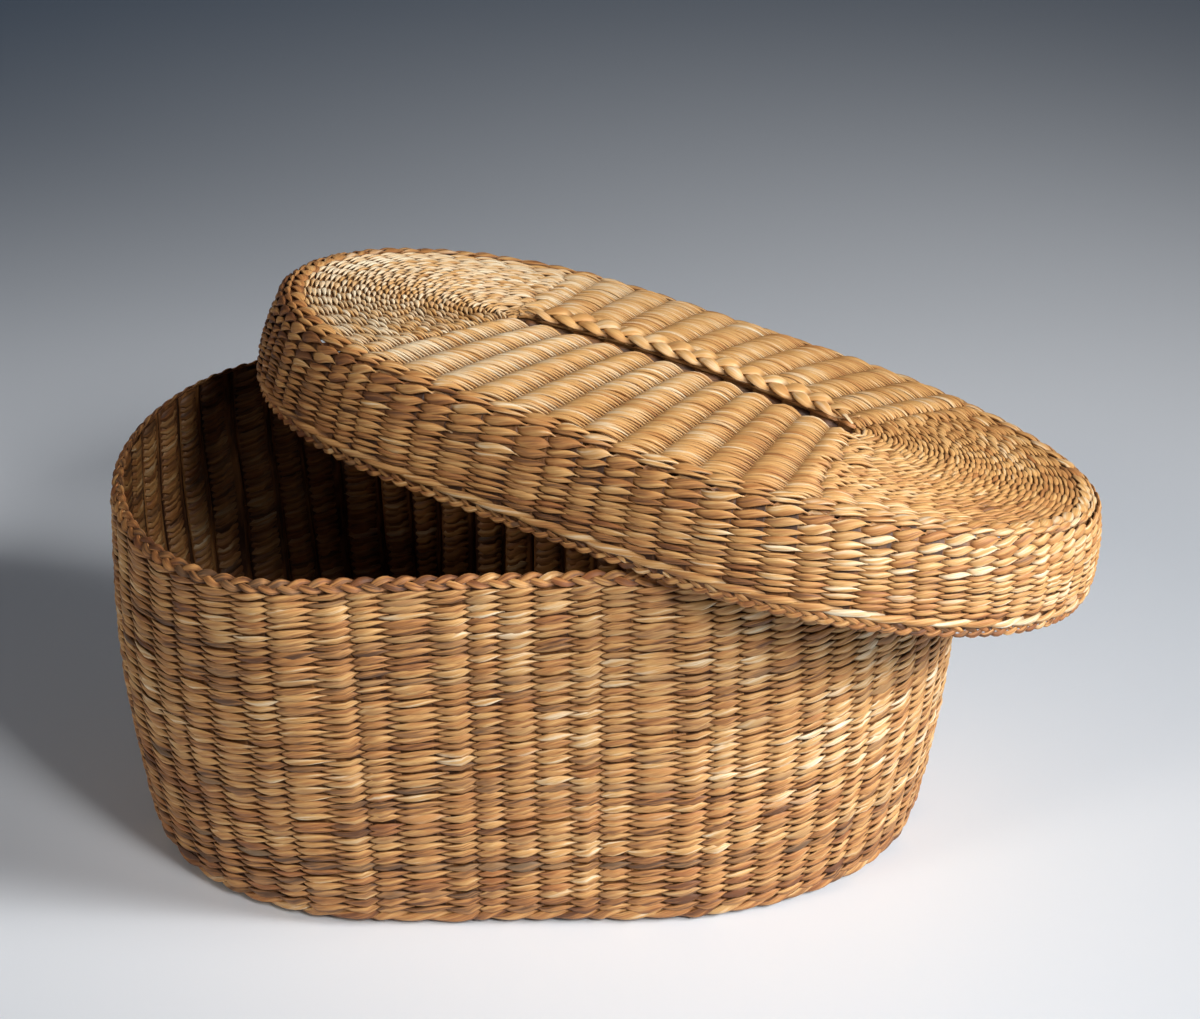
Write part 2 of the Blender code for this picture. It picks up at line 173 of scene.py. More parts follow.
def makeFibreGroup():
    tree = bpy.data.node_groups.new("strawFibres", "ShaderNodeTree")
    for name, kind in (("Straw", "Vector"), ("Strand", "Vector"), ("Place", "Vector"),
                       ("Tone Shift", "Float"), ("Redness", "Float"), ("Streaks", "Float")):
        tree.interface.new_socket(name, in_out="INPUT", socket_type="NodeSocket" + kind)
    for name, kind in (("Color", "Color"), ("Roughness", "Float"), ("Height", "Float")):
        tree.interface.new_socket(name, in_out="OUTPUT", socket_type="NodeSocket" + kind)
    given = node(tree, "NodeGroupInput")
    result = node(tree, "NodeGroupOutput")
    parts = node(tree, "ShaderNodeSeparateXYZ")
    tree.links.new(given.outputs["Straw"], parts.inputs[0])
    tone, tint, paintedLight = parts.outputs

    stretch, count = straw["fibreStretch"], straw["fibreCount"]
    finer, closer = straw["hairFineness"]
    fibre = noiseNode(tree, given.outputs["Strand"], (stretch, count, 1.0), 3.0)
    hair = noiseNode(tree, given.outputs["Strand"], (stretch * finer, count * closer, 1.0), 2.0)
    stain = noiseNode(tree, given.outputs["Place"], (straw["stainSize"],) * 3, 3.0)

    streak = mathNode(tree, "MULTIPLY", mathNode(tree, "SUBTRACT", fibre, 0.5), straw["streaks"])
    spots = mathNode(tree, "MULTIPLY", mathNode(tree, "SUBTRACT", stain, 0.5), straw["stains"])
    threads = mathNode(tree, "MULTIPLY", mathNode(tree, "SUBTRACT", hair, 0.5), straw["hairs"])
    lines = mathNode(tree, "MULTIPLY", mathNode(tree, "ADD", streak, threads), given.outputs["Streaks"])
    marks = mathNode(tree, "ADD", lines, spots)
    level = mathNode(tree, "ADD", mathNode(tree, "ADD", tone, marks), given.outputs["Tone Shift"])
    ramp = node(tree, "ShaderNodeValToRGB")
    stops = ramp.color_ramp.elements
    stops[0].position, stops[0].color = 0.02, straw["dark"]
    stops[1].position, stops[1].color = 0.98, straw["cream"]
    for place, name in ((0.34, "honey"), (0.62, "golden")):
        stops.new(place).color = straw[name]
    tree.links.new(level, ramp.inputs[0])

    redder = mathNode(tree, "ADD", tint, given.outputs["Redness"], clamp=True)
    greyer = mathNode(tree, "MULTIPLY", tint, -1.0, clamp=True)
    colour = mixColour(tree, "MIX", mathNode(tree, "MULTIPLY", redder, 0.75), ramp.outputs[0], straw["red"])
    colour = mixColour(tree, "MIX", mathNode(tree, "MULTIPLY", greyer, 0.75), colour, straw["grey"])

    # painted shade: paintedLight darkens the colour smoothly, down to grooveShade where it is 0
    lit = node(tree, "ShaderNodeMapRange", interpolation_type="SMOOTHSTEP")
    for slot, value in enumerate((0.05, 0.65, straw["grooveShade"], 1.0), start=1):
        lit.inputs[slot].default_value = value
    tree.links.new(paintedLight, lit.inputs[0])
    shade = node(tree, "ShaderNodeCombineColor")
    for slot, power in enumerate((0.85, 1.0, 1.15)):    # painted shade in a groove is warmer than it is dark
        tree.links.new(mathNode(tree, "POWER", lit.outputs[0], power), shade.inputs[slot])
    colour = mixColour(tree, "MULTIPLY", 1.0, colour, shade.outputs[0])
    tree.links.new(colour, result.inputs["Color"])

    lowest, added = straw["roughness"]
    rough = mathNode(tree, "ADD", mathNode(tree, "MULTIPLY", hair, added), lowest)
    tree.links.new(rough, result.inputs["Roughness"])
    height = mathNode(tree, "ADD", fibre, mathNode(tree, "MULTIPLY", hair, 0.5))
    tree.links.new(height, result.inputs["Height"])
    return tree


fibreGroup = makeFibreGroup()


def makeStraw(name, toneShift=0.0, redness=0.0, streaks=1.0, bump=0.0003):
    material = bpy.data.materials.new(name)
    material.use_nodes = True
    tree = material.node_tree
    shader = tree.nodes["Principled BSDF"]
    fibres = node(tree, "ShaderNodeGroup", node_tree=fibreGroup)
    fibres.inputs["Tone Shift"].default_value = toneShift
    fibres.inputs["Redness"].default_value = redness
    fibres.inputs["Streaks"].default_value = streaks
    look = node(tree, "ShaderNodeAttribute", attribute_name="straw")
    strand = node(tree, "ShaderNodeUVMap", uv_map="strand")
    place = node(tree, "ShaderNodeTexCoord")
    tree.links.new(look.outputs["Vector"], fibres.inputs["Straw"])
    tree.links.new(strand.outputs["UV"], fibres.inputs["Strand"])
    tree.links.new(place.outputs["Object"], fibres.inputs["Place"])
    relief = node(tree, "ShaderNodeBump")
    relief.inputs["Distance"].default_value = bump
    relief.inputs["Strength"].default_value = 0.8
    tree.links.new(fibres.outputs["Height"], relief.inputs["Height"])
    tree.links.new(fibres.outputs["Color"], shader.inputs["Base Color"])
    tree.links.new(fibres.outputs["Roughness"], shader.inputs["Roughness"])
    tree.links.new(relief.outputs["Normal"], shader.inputs["Normal"])
    return material


wallStraw = makeStraw("wallStraw")
rowStraw = makeStraw("rowStraw", toneShift=0.02, redness=0.05)
braidStraw = makeStraw("braidStraw", toneShift=-0.04, redness=0.06)
# painted light: the top's straw is made lighter, standing in for more light falling on it from above
topStraw = makeStraw("topStraw", toneShift=0.08, streaks=0.55, bump=0.0002)
baseStraw = makeStraw("baseStraw", toneShift=-0.05)
print("straw materials ready")

# strands: a bundle collects the rings of many strands, then becomes one mesh


def unit(vectors):
    return vectors / np.linalg.norm(vectors, axis=-1, keepdims=True)


def sectionAngles(sides):
    # corners of a strand's section, drawn towards its two edges so that these stay thin
    angle = 2.0 * math.pi * np.arange(sides) / sides
    return angle - 0.22 * np.sin(2.0 * angle)


def newBundle():
    return {"points": [], "quads": [], "uvs": [], "straw": [], "count": 0}


def addStrand(bundle, centre, wideWay, thickWay, wide, thick, look, sides, closed=True, twist=0.0):
    # look holds tone, tint and paintedLight (painted shade) for every ring, or for every corner of every ring
    steps = len(centre)
    angle = sectionAngles(sides)
    rings = (centre[:, None]
             + wideWay[:, None] * (np.cos(angle)[None, :, None] * wide[:, None, None])
             + thickWay[:, None] * (np.sin(angle)[None, :, None] * thick[:, None, None]))
    last = steps if closed else steps - 1
    here = np.arange(last)
    ahead = (here + 1) % steps
    side = np.arange(sides)
    beside = (side + 1) % sides
    first = bundle["count"]
    quads = np.stack((here[:, None] * sides + side, here[:, None] * sides + beside,
                      ahead[:, None] * sides + beside, ahead[:, None] * sides + side), axis=-1)
    run = np.append(0.0, np.cumsum(np.linalg.norm(np.diff(centre, axis=0), axis=1)))
    run = np.append(run, run[-1] + np.linalg.norm(centre[0] - centre[-1]))
    u = run + bundle["count"] * 0.013      # no two strands get the same fibres
    around = side / sides
    uvs = np.empty((last, sides, 4, 2))
    for corner, (row, turn) in enumerate(((0, 0), (0, 1), (1, 1), (1, 0))):
        uvs[:, :, corner, 0] = u[here + row][:, None]
        uvs[:, :, corner, 1] = around[None, :] + turn / sides + twist * u[here + row][:, None]
    bundle["points"].append(rings.reshape(-1, 3))
    bundle["quads"].append(quads.reshape(-1, 4) + first)
    bundle["uvs"].append(uvs.reshape(-1, 2))
    if look.ndim == 2:
        look = np.repeat(look[:, None], sides, axis=1)
    bundle["straw"].append(look.reshape(-1, 3))
    if not closed:
        for ring, flip in ((0, True), (steps - 1, False)):
            pairs = np.array([(i, i + 1, sides - 2 - i, sides - 1 - i) for i in range(sides // 2 - 1)])
            cap = ring * sides + (pairs[:, ::-1] if flip else pairs) + first
            bundle["quads"].append(cap)
            bundle["uvs"].append(np.zeros((cap.size, 2)) + (u[ring], 0.5))
    bundle["count"] += steps * sides


def finishBundle(name, bundle, material, body, replaced, place=None):
    points = np.concatenate(bundle["points"])
    if place is not None:
        points = points @ np.array(place.to_3x3()).T + np.array(place.translation)
    quads = np.concatenate(bundle["quads"])
    mesh = bpy.data.meshes.new(name)
    mesh.vertices.add(len(points))
    mesh.vertices.foreach_set("co", points.astype(np.float32).ravel())
    mesh.loops.add(quads.size)
    mesh.loops.foreach_set("vertex_index", quads.astype(np.int32).ravel())
    mesh.polygons.add(len(quads))
    mesh.polygons.foreach_set("loop_start", np.arange(0, quads.size, 4, dtype=np.int32))
    mesh.polygons.foreach_set("use_smooth", np.ones(len(quads), dtype=bool))
    mesh.update(calc_edges=True)
    uvMap = mesh.uv_layers.new(name="strand")
    uvMap.data.foreach_set("uv", np.concatenate(bundle["uvs"]).astype(np.float32).ravel())
    look = mesh.attributes.new("straw", "FLOAT_VECTOR", "POINT")
    look.data.foreach_set("vector", np.concatenate(bundle["straw"]).astype(np.float32).ravel())
    mesh.materials.append(material)
    piece = bpy.data.objects.new(name, mesh)
    bpy.context.scene.collection.objects.link(piece)
    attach(piece, body)
    if replaced:
        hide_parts(*replaced)
    print(name, "has", 2 * len(quads), "triangles")


# where a strand gets its rings, in shares of its full turn; it is in front at 0 and behind at 0.5
stitchStops = (-0.34, -0.27, -0.20, -0.12, -0.03, 0.06, 0.14, 0.21, 0.27, 0.32, 0.38, 0.52)
ropeStops = (-0.36, -0.28, -0.21, -0.14, -0.07, 0.0, 0.07, 0.14, 0.21, 0.28, 0.36, 0.50)
matStops = (-0.25, -0.125, 0.0, 0.125, 0.25, 0.375, 0.5, 0.625)


def bladeTones(dice, count, base, spread, blade):
    # one value for each stitch: a blade of grass runs over several stitches before the next is laid in
    values = np.empty(count)
    at = 0
    while at < count:
        length = int(dice.integers(max(1, blade // 2), 2 * blade))
        values[at:at + length] = base + spread * dice.normal()
        at += length
    return values + 0.45 * spread * dice.normal(size=count)


def showing(theta, bias):
    # 1 where a strand stands farthest out, 0 where it dives in, -1 where it is farthest behind
    front = np.cos(theta) + bias
    return np.where(front > 0.0, front / (1.0 + bias), front / (1.0 - bias))


endReach = 0.13     # metres from the middle to where a row has the whole of its endLightTones, painted light on its ends
nearby = 0.05       # stakes to either side between which the direction of a row is read


def twinedRow(bundle, surface, row, crossings, spec, dice, tone, tint, stakeAt=None, calmAt=None):
    # strands that twist round each other, each coming out in turn at the stakes that they pass
    strands, stops = spec["strands"], np.array(spec["stops"])
    turns = round(crossings / strands)
    beat = (np.arange(turns)[:, None] + stops).ravel()
    stitch = np.rint(beat).astype(int) % turns
    theta = 2.0 * math.pi * beat
    wander = dice.normal(size=crossings)
    for strand in range(strands):
        crossing = ((beat - strand / strands) * crossings / turns) % crossings
        stake, before, after = crossing, crossing - nearby, crossing + nearby
        if stakeAt is not None:
            stake, before, after = (stakeAt(place % crossings) for place in (stake, before, after))
        middle = surface(stake, row)
        up = (surface(stake, row + 0.5) - surface(stake, row - 0.5)) * spec.get("facing", 1.0)
        pitch = np.linalg.norm(up, axis=1)
        along = surface(after, row) - surface(before, row)
        stakePitch = np.linalg.norm(along, axis=1) / (2.0 * nearby)
        reachable = np.clip(stakePitch / spec["fullStitch"], 0.4, 1.0)
        along = unit(along)
        up = unit(up - along * np.sum(up * along, axis=1)[:, None])
        out = np.cross(along, up)
        depth = spec["depth"] * reachable
        if calmAt is not None:
            depth = depth * calmAt(crossing)

        # a stitch ends in a point on top of the next one, which starts broad beneath it
        bearing = showing(theta - spec["overlap"], spec["bias"])
        crest = np.abs(bearing)
        blade = np.maximum(np.clip(showing(theta + spec["overlap"], spec["bias"]), 0.0, 1.0) ** spec["leaf"],
                           np.clip(-bearing, 0.0, 1.0) ** 0.3)
        lean = spec["lean"] * np.sin(theta)
        push = 1.0 + 0.08 * dice.normal(size=turns)[stitch]
        breadth = 1.0 + spec["uneven"] * (dice.normal(size=turns)[stitch]
                                          + bladeTones(dice, turns, 0.0, 0.7, spec["blade"])[stitch])
        drift = np.interp(crossing, np.arange(crossings + 1), np.append(wander, wander[0]))
        sway = pitch * spec["uneven"] * (0.3 * drift + 0.4 * dice.normal(size=turns)[stitch] * crest)
        rise = 0.25 * spec["slant"] * pitch * np.sin(theta) + sway
        reach = depth * np.sign(bearing) * crest ** spec["round"] * push
        centre = middle + out * reach[:, None] + up * rise[:, None]
        facing = out * np.cos(lean)[:, None] + up * np.sin(lean)[:, None]
        wideWay = up * np.cos(lean)[:, None] - out * np.sin(lean)[:, None]
        leaf = spec["pinch"] + (1.0 - spec["pinch"]) * blade * np.clip(breadth, 0.75, 1.5)
        leaf = leaf * (1.0 + 0.36 * np.clip(-3.0 * bearing, 0.0, 1.0))
        wide = 0.5 * spec["wide"] * pitch * leaf
        thick = 0.5 * spec["thick"] * (0.6 + 0.4 * crest)
        tones = bladeTones(dice, turns, tone, spec["toneSpread"], spec["blade"])[stitch]
        # painted light: a row is lighter towards the end the lamps light best and darker towards the other
        leftTone, rightTone = spec["endLightTones"]
        tones = tones + np.interp(middle[:, 0], (-endReach, 0.0, endReach), (leftTone, 0.0, rightTone))
        tints = bladeTones(dice, turns, tint, spec["tintSpread"], spec["blade"])[stitch]
        sides = spec["sides"]
        angle = sectionAngles(sides)
        corner = (np.cos(angle)[None, :] * (wide * -np.sin(lean))[:, None]
                  + np.sin(angle)[None, :] * (thick * np.cos(lean))[:, None] + reach[:, None])
        # painted shade: darker the less a corner stands out, darker still on a strand's inner side, and in
        # thin lines along its edges where rows meet
        paintedLight = (np.where(corner > 0.0, corner, -0.3 * corner) / (depth + 0.5 * spec["thick"])[:, None]
                - spec["edgeShade"] * np.cos(angle)[None, :] ** 12)
        look = np.stack((np.broadcast_to(tones[:, None], paintedLight.shape),
                         np.broadcast_to(tints[:, None], paintedLight.shape), paintedLight), axis=-1)
        addStrand(bundle, centre, wideWay, facing, wide, thick, look, sides=sides, twist=spec["twist"])


def addStake(bundle, surface, stake, ribs, dice):
    # a flat rib of grass inside the weave, which every row passes in front of and behind
    first, last = ribs["rows"]
    row = np.linspace(first, last, max(6, round(1.2 * (last - first))))
    beside = np.array([surface(np.array([stake - 0.5, stake + 0.5]), float(step)) for step in row])
    centre = beside.mean(axis=1)
    along = unit(np.gradient(centre, axis=0))
    across = beside[:, 1] - beside[:, 0]
    across = across - along * np.sum(across * along, axis=1)[:, None]
    wide = 0.54 * np.linalg.norm(across, axis=1)      # it overlaps the next rib, so that no light gets through
    across = unit(across)
    thick = np.full(len(row), 0.5 * ribs["thick"])
    thick[[0, -1]] *= 0.6
    # painted shade: a rib's dark tone and low paintedLight make the gaps between the stitches in front of it
    # read as shade
    look = np.tile((ribs["tone"] + 0.08 * dice.normal(), 0.0, ribs["paintedLight"]), (len(row), 1))
    addStrand(bundle, centre, across, np.cross(along, across), wide, thick, look, sides=6, closed=False)


# outlines, as the solids have them: half length, half width, reach of the left and the right end, shift

outline = {
    "rim": np.array((0.130, 0.0791, 0.0586, 0.0927, 0.0)),
    "base": np.array((0.1209, 0.0724, 0.0772, 0.0883, -0.0012)),
    "lidFoot": np.array((0.135, 0.0841, 0.0842, 0.0952, 0.0)),
    "lidShoulder": np.array((0.1318, 0.0809, 0.0810, 0.1120, 0.0)),
}


def ovalAt(oval, fraction):
    # points and outward normals; fraction 0 is the left tip, and it grows by way of the front
    halfLength, halfWidth, leftReach, rightReach, shift = oval
    turn = np.linspace(0.0, math.pi / 2.0, 121)
    left = np.column_stack((leftReach * (1.0 - np.cos(turn)) - halfLength, -halfWidth * np.sin(turn)))
    right = np.column_stack((halfLength - rightReach * (1.0 - np.sin(turn)), -halfWidth * np.cos(turn)))
    front = np.vstack((left, right))
    line = np.vstack((front, front[-2::-1] * (1.0, -1.0))) + (shift, 0.0)
    run = np.append(0.0, np.cumsum(np.linalg.norm(np.diff(line, axis=0), axis=1)))

    def pick(distance):
        return np.column_stack([np.interp(distance % run[-1], run, line[:, i]) for i in (0, 1)])

    way = np.asarray(fraction, dtype=float) * run[-1]
    along = unit(pick(way + 0.0008) - pick(way - 0.0008))
    return pick(way), np.column_stack((along[:, 1], -along[:, 0]))


def stakeWobble(spec):
    # how far each stake wanders sideways, in stakes, as a function of height
    dice = np.random.default_rng(spec["wobbleSeed"])
    stakes = spec["stakes"]
    speed = spec["wobbleWave"] * (0.6 + 0.8 * dice.random(stakes))
    phase = 2.0 * math.pi * dice.random(stakes)
    size = spec["wobble"] * (0.4 + dice.random(stakes))

    def wobble(stake, height):
        shift = size * np.sin(speed * height + phase)
        return np.interp(stake % stakes, np.arange(stakes + 1), np.append(shift, shift[0]))

    return wobble


# body wall: twined rows from the foot row to the rim braid

wall = {
    "height": 0.1210, "belly": 0.0040, "stakes": 68, "crowding": 0.16, "ribScatter": 0.14,
    "wobble": 0.055, "wobbleWave": 90.0, "wobbleSeed": 3,
    "rimPeak": 0.0156, "rimClimb": 0.029, "rimFall": 0.025,
    "bottom": 0.0055, "rows": 45, "topSqueeze": 0.22,
    "strands": 2, "stops": stitchStops, "sides": 8,
    "bias": 0.40, "overlap": 0.22, "leaf": 0.85,    # time spent in front, cover by the next stitch, fullness
    "pinch": 0.20, "wide": 1.12, "thick": 0.00115,  # width left at the tips, width in rows, thickness
    "depth": 0.00140, "fullStitch": 0.009,          # how far a stitch of this length or more stands out
    "slant": 1.0, "lean": 0.35, "round": 0.6,
    "twist": 6.0, "uneven": 0.19, "edgeShade": 0.85,
    "tone": 0.45, "toneSpread": 0.088, "rowToneSpread": 0.06, "endLightTones": (-0.06, 0.12),
    "tint": 0.02, "tintSpread": 0.16, "rowTintSpread": 0.10, "blade": 5, "seed": 5,
    "lowRows": 0.045, "lowShade": 0.25, "lowRedness": 0.10,     # rows below this height are darker, as painted shade near the floor, and redder
    "paleRows": (0.116, 0.106, 0.096, 0.079, 0.067, 0.057, 0.030), "paleTone": 0.10,
    "greyRows": (0.118, 0.091, 0.075, 0.054, 0.048, 0.024), "greyTone": -0.08, "greyTint": -0.25,
}
# painted shade: the ribs are darker than the rows, so that gaps between stitches show dark
bodyRibs = {"rows": (0.0, wall["rows"] + 0.8), "thick": 0.0010, "tone": 0.17, "paintedLight": 0.1}
bands = ("lower", "middle", "upper")


def rimRise(x):
    # the rim climbs from the left to its peak and falls from there to the right
    beyond = np.maximum(x - wall["rimPeak"], 0.0)
    return wall["rimClimb"] * np.minimum(x, wall["rimPeak"]) - wall["rimFall"] * beyond


ribDice = np.random.default_rng(14)     # spaces the ribs of the body and then those of the lid
bodySpacing = wall["ribScatter"] * ribDice.normal(size=wall["stakes"])


def shifted(stake, spacing):
    # ribs are never quite evenly spaced
    return stake + np.interp(stake % len(spacing), np.arange(len(spacing) + 1), np.append(spacing, spacing[0]))


def bodyStake(stake):
    share = shifted(stake, bodySpacing) / wall["stakes"]
    return share + wall["crowding"] * np.sin(2.0 * math.pi * share) / (2.0 * math.pi)


def rowHeight(row):
    share = row / wall["rows"]
    squeezed = share + wall["topSqueeze"] * share * (1.0 - share) / 2.0
    return wall["bottom"] + (wall["height"] - wall["bottom"]) * squeezed


wallWobble = stakeWobble(wall)


def wallSurface(stake, row):
    height = rowHeight(row)
    share = height / wall["height"]
    oval = outline["base"] + (outline["rim"] - outline["base"]) * share
    place, normal = ovalAt(oval, bodyStake(stake + wallWobble(stake, height)))
    inset = wall["depth"] + 0.5 * wall["thick"]
    place = place + normal * (wall["belly"] * math.sin(math.pi * min(share, 1.0)) - inset)
    slant = (height - wall["bottom"]) / (wall["height"] - wall["bottom"])
    return np.column_stack((place, height + slant * rimRise(place[:, 0])))


def makeWall():
    dice = np.random.default_rng(wall["seed"])
    perBand = wall["rows"] // len(bands)
    rowTone = wall["tone"] + wall["rowToneSpread"] * dice.normal(size=wall["rows"])
    rowTint = wall["tint"] + wall["rowTintSpread"] * dice.normal(size=wall["rows"])
    for band, bandName in enumerate(bands):
        bundle = newBundle()
        for row in range(band * perBand, (band + 1) * perBand):
            height = rowHeight(row + 0.5)
            near = 0.6 * (rowHeight(row + 1) - rowHeight(row))
            # painted shade: rows near the floor are made darker
            low = max(0.0, 1.0 - height / wall["lowRows"])
            tone = rowTone[row] - wall["lowShade"] * low
            tint = rowTint[row] + wall["lowRedness"] * low
            if min(abs(height - pale) for pale in wall["paleRows"]) < near:
                tone += wall["paleTone"]
            if min(abs(height - grey) for grey in wall["greyRows"]) < near:
                tone += wall["greyTone"]
                tint += wall["greyTint"]
            twinedRow(bundle, wallSurface, row + 0.5, wall["stakes"], wall, dice, tone, tint)
        finishBundle("wallRows" + bandName.capitalize(), bundle, wallStraw, "body",
                     ("wall_wefts_" + bandName,))


def makeBodyStakes():
    dice = np.random.default_rng(wall["seed"] + 1)
    bundle = newBundle()
    for stake in range(wall["stakes"]):
        addStake(bundle, wallSurface, float(stake), bodyRibs, dice)
    finishBundle("bodyStakes", bundle, wallStraw, "body", ())


makeWall()
makeBodyStakes()

# rope rows: three strands that twist round each other, one of them coming out at every stake


def ropeRow(name, surface, spec, body, replaced, place=None):
    dice = np.random.default_rng(spec["seed"])
    bundle = newBundle()
    twinedRow(bundle, surface, 0.0, spec["crossings"], spec, dice, spec["tone"], spec["tint"])
    finishBundle(name, bundle, rowStraw, body, replaced, place)


foot = {
    "height": 0.0036, "rowPitch": 0.0052, "inset": 0.0024, "crossings": 69,
    "strands": 3, "stops": ropeStops, "sides": 10,
    "bias": 0.0, "overlap": 0.0, "leaf": 0.8, "pinch": 0.5, "wide": 0.70, "thick": 0.0019,
    "depth": 0.00125, "fullStitch": 0.006, "slant": 1.05, "lean": 0.6, "round": 0.9,
    "twist": 8.0, "uneven": 0.10, "edgeShade": 0.3,
    "tone": 0.23, "toneSpread": 0.12, "endLightTones": (-0.04, 0.06),
    "tint": 0.14, "tintSpread": 0.15, "blade": 3, "seed": 21,
}


def footSurface(stake, row):
    place, normal = ovalAt(outline["base"], bodyStake(stake * wall["stakes"] / foot["crossings"]))
    place = place - normal * foot["inset"]
    return np.column_stack((place, np.full(len(place), foot["height"] + row * foot["rowPitch"])))


ropeRow("footRope", footSurface, foot, "body", ("foot_row",))

# plaits: three strands that cross over each other along a line


sharpness = 0.97     # how a plait's strand turns back at the edges: 0 as a wave, 1 as a zigzag


def addPlait(bundle, line, spec, dice, closed):
    # line gives the place, the way across and the way up at shares of its length
    steps = round(spec["turns"] * spec["sections"])
    share = np.arange(steps if closed else steps + 1) / steps
    middle, across, lift = line(share)
    for strand in range(3):
        phase = 2.0 * math.pi * (spec["turns"] * share + strand / 3.0)
        over = np.sin(2.0 * phase) * spec["way"]
        swing = 0.4 * np.sin(phase) + 0.6 * np.arcsin(sharpness * np.sin(phase)) / math.asin(sharpness)
        centre = middle + across * (spec["sway"] * swing)[:, None] + lift * (spec["lift"] * over)[:, None]
        if closed:
            along = unit(np.roll(centre, -1, axis=0) - np.roll(centre, 1, axis=0))
        else:
            along = unit(np.gradient(centre, axis=0))
        wideWay = unit(np.cross(lift, along))
        facing = np.cross(along, wideWay)
        swell = spec["pinch"] + (1.0 - spec["pinch"]) * np.clip(0.35 + 0.65 * over, 0.0, 1.0)
        bumps = max(3, round(3 * spec["turns"]))
        bump = np.rint(share * bumps + strand).astype(int) % bumps
        wide = 0.5 * spec["wide"] * swell * (1.0 + 0.06 * dice.normal(size=bumps)[bump])
        thick = 0.5 * spec["thick"] * (0.7 + 0.3 * swell)
        if not closed:
            taper = np.clip(np.minimum(share, 1.0 - share) * spec["turns"] * 2.0, 0.25, 1.0)
            wide, thick = wide * taper, thick * taper
        tones = bladeTones(dice, bumps, spec["tone"], spec["toneSpread"], 5)[bump]
        tints = bladeTones(dice, bumps, spec["tint"], spec["tintSpread"], 5)[bump]
        # painted shade: a strand is darker where it passes under the others
        paintedLight = 0.5 + 0.5 * over
        addStrand(bundle, centre, wideWay, facing, wide, thick, np.column_stack((tones, tints, paintedLight)),
                  sides=spec["sides"], closed=closed, twist=6.0)


def makePlait(name, line, spec, material, body, replaced, place=None, closed=True):
    bundle = newBundle()
    addPlait(bundle, line, spec, np.random.default_rng(spec["seed"]), closed)
    finishBundle(name, bundle, material, body, replaced, place)


rimBraid = {
    "turns": 39, "sections": 16, "sides": 8, "way": 1.0, "sway": 0.00160, "lift": 0.00040,
    "wide": 0.0024, "thick": 0.0008, "pinch": 0.60, "inset": 0.0023, "rise": 0.0018, "tilt": 48.0,
    "tone": 0.24, "toneSpread": 0.12, "tint": 0.10, "tintSpread": 0.2, "seed": 31,
}


def rimLine(share):
    place, normal = ovalAt(outline["rim"], share)
    place = place - normal * rimBraid["inset"]
    height = wall["height"] + rimBraid["rise"] + rimRise(place[:, 0])
    tilt = math.radians(rimBraid["tilt"])
    out = np.column_stack((normal, np.zeros(len(share))))
    upward = np.array((0.0, 0.0, 1.0))
    lift = out * math.cos(tilt) + upward * math.sin(tilt)
    across = upward * math.cos(tilt) - out * math.sin(tilt)
    return np.column_stack((place, height)), across, lift


makePlait("rimBraid", rimLine, rimBraid, braidStraw, "body", ("rim_braid",))

# lid side, made in the lid's own axes and then laid askew on the rim

lid = {
    "place": (0.0389, 0.0050, 0.1110), "turn": (-12.63, 6.36, -27.98),    # turn in degrees
    "height": 0.0347, "belly": 0.0020, "endLift": 0.0020,
    "stakes": 84, "crowding": 0.20, "ribScatter": 0.12,
    "wobble": 0.07, "wobbleWave": 160.0, "wobbleSeed": 4,
}
lidPlace = (Matrix.Translation(lid["place"])
            @ Euler([math.radians(angle) for angle in lid["turn"]], "XYZ").to_matrix().to_4x4())

lidFine = {
    "levels": (0.0074, 0.0190), "rows": 6, "growth": 0.0,
    "strands": 2, "stops": stitchStops, "sides": 8,
    "bias": 0.40, "overlap": 0.26, "leaf": 0.75, "pinch": 0.22, "wide": 1.06, "thick": 0.00120,
    "depth": 0.00125, "fullStitch": 0.0075, "slant": 1.0, "lean": 0.35, "round": 0.6,
    "twist": 6.0, "uneven": 0.17, "edgeShade": 0.75,
    "tone": 0.37, "toneSpread": 0.085, "rowToneSpread": 0.05, "endLightTones": (-0.09, 0.20),
    "tint": 0.12, "tintSpread": 0.15, "rowTintSpread": 0.08, "blade": 4, "seed": 41,
}
lidCoarse = dict(lidFine, levels=(0.0190, 0.0318), rows=5, growth=0.28, slant=1.2, lean=0.25, depth=0.00110,
                 thick=0.00140, wide=1.10, pinch=0.18, bias=0.36, tone=0.375, tint=0.13, seed=42)
lidRibs = {"rows": (-2.0, 6.0), "thick": 0.0009, "tone": 0.17, "paintedLight": 0.1, "seed": 46}
coarseRibs = dict(lidRibs, rows=(0.0, 4.8), thick=0.0007)
shoulderRibs = dict(lidRibs, rows=(-0.5, 2.9), thick=0.0007)

lidSpacing = lid["ribScatter"] * ribDice.normal(size=lid["stakes"])


def lidStake(stake):
    share = shifted(stake, lidSpacing) / lid["stakes"]
    return share - lid["crowding"] * np.sin(4.0 * math.pi * share) / (4.0 * math.pi)


lidWobble = stakeWobble(lid)


def skirtSurface(spec):
    low, high = spec["levels"]

    def surface(stake, row):
        share = row / spec["rows"]
        level = low + (high - low) * (share - spec["growth"] * share * (1.0 - share))
        part = level / lid["height"]
        oval = outline["lidFoot"] + (outline["lidShoulder"] - outline["lidFoot"]) * part
        place, normal = ovalAt(oval, lidStake(stake + lidWobble(stake, level)))
        inset = spec["depth"] + 0.5 * spec["thick"]
        place = place + normal * (lid["belly"] * math.sin(math.pi * min(max(part, 0.0), 1.0)) - inset)
        lift = lid["endLift"] * (place[:, 0] / outline["lidFoot"][0]) ** 2 * max(0.0, 1.0 - part)
        return np.column_stack((place, level + lift))

    return surface


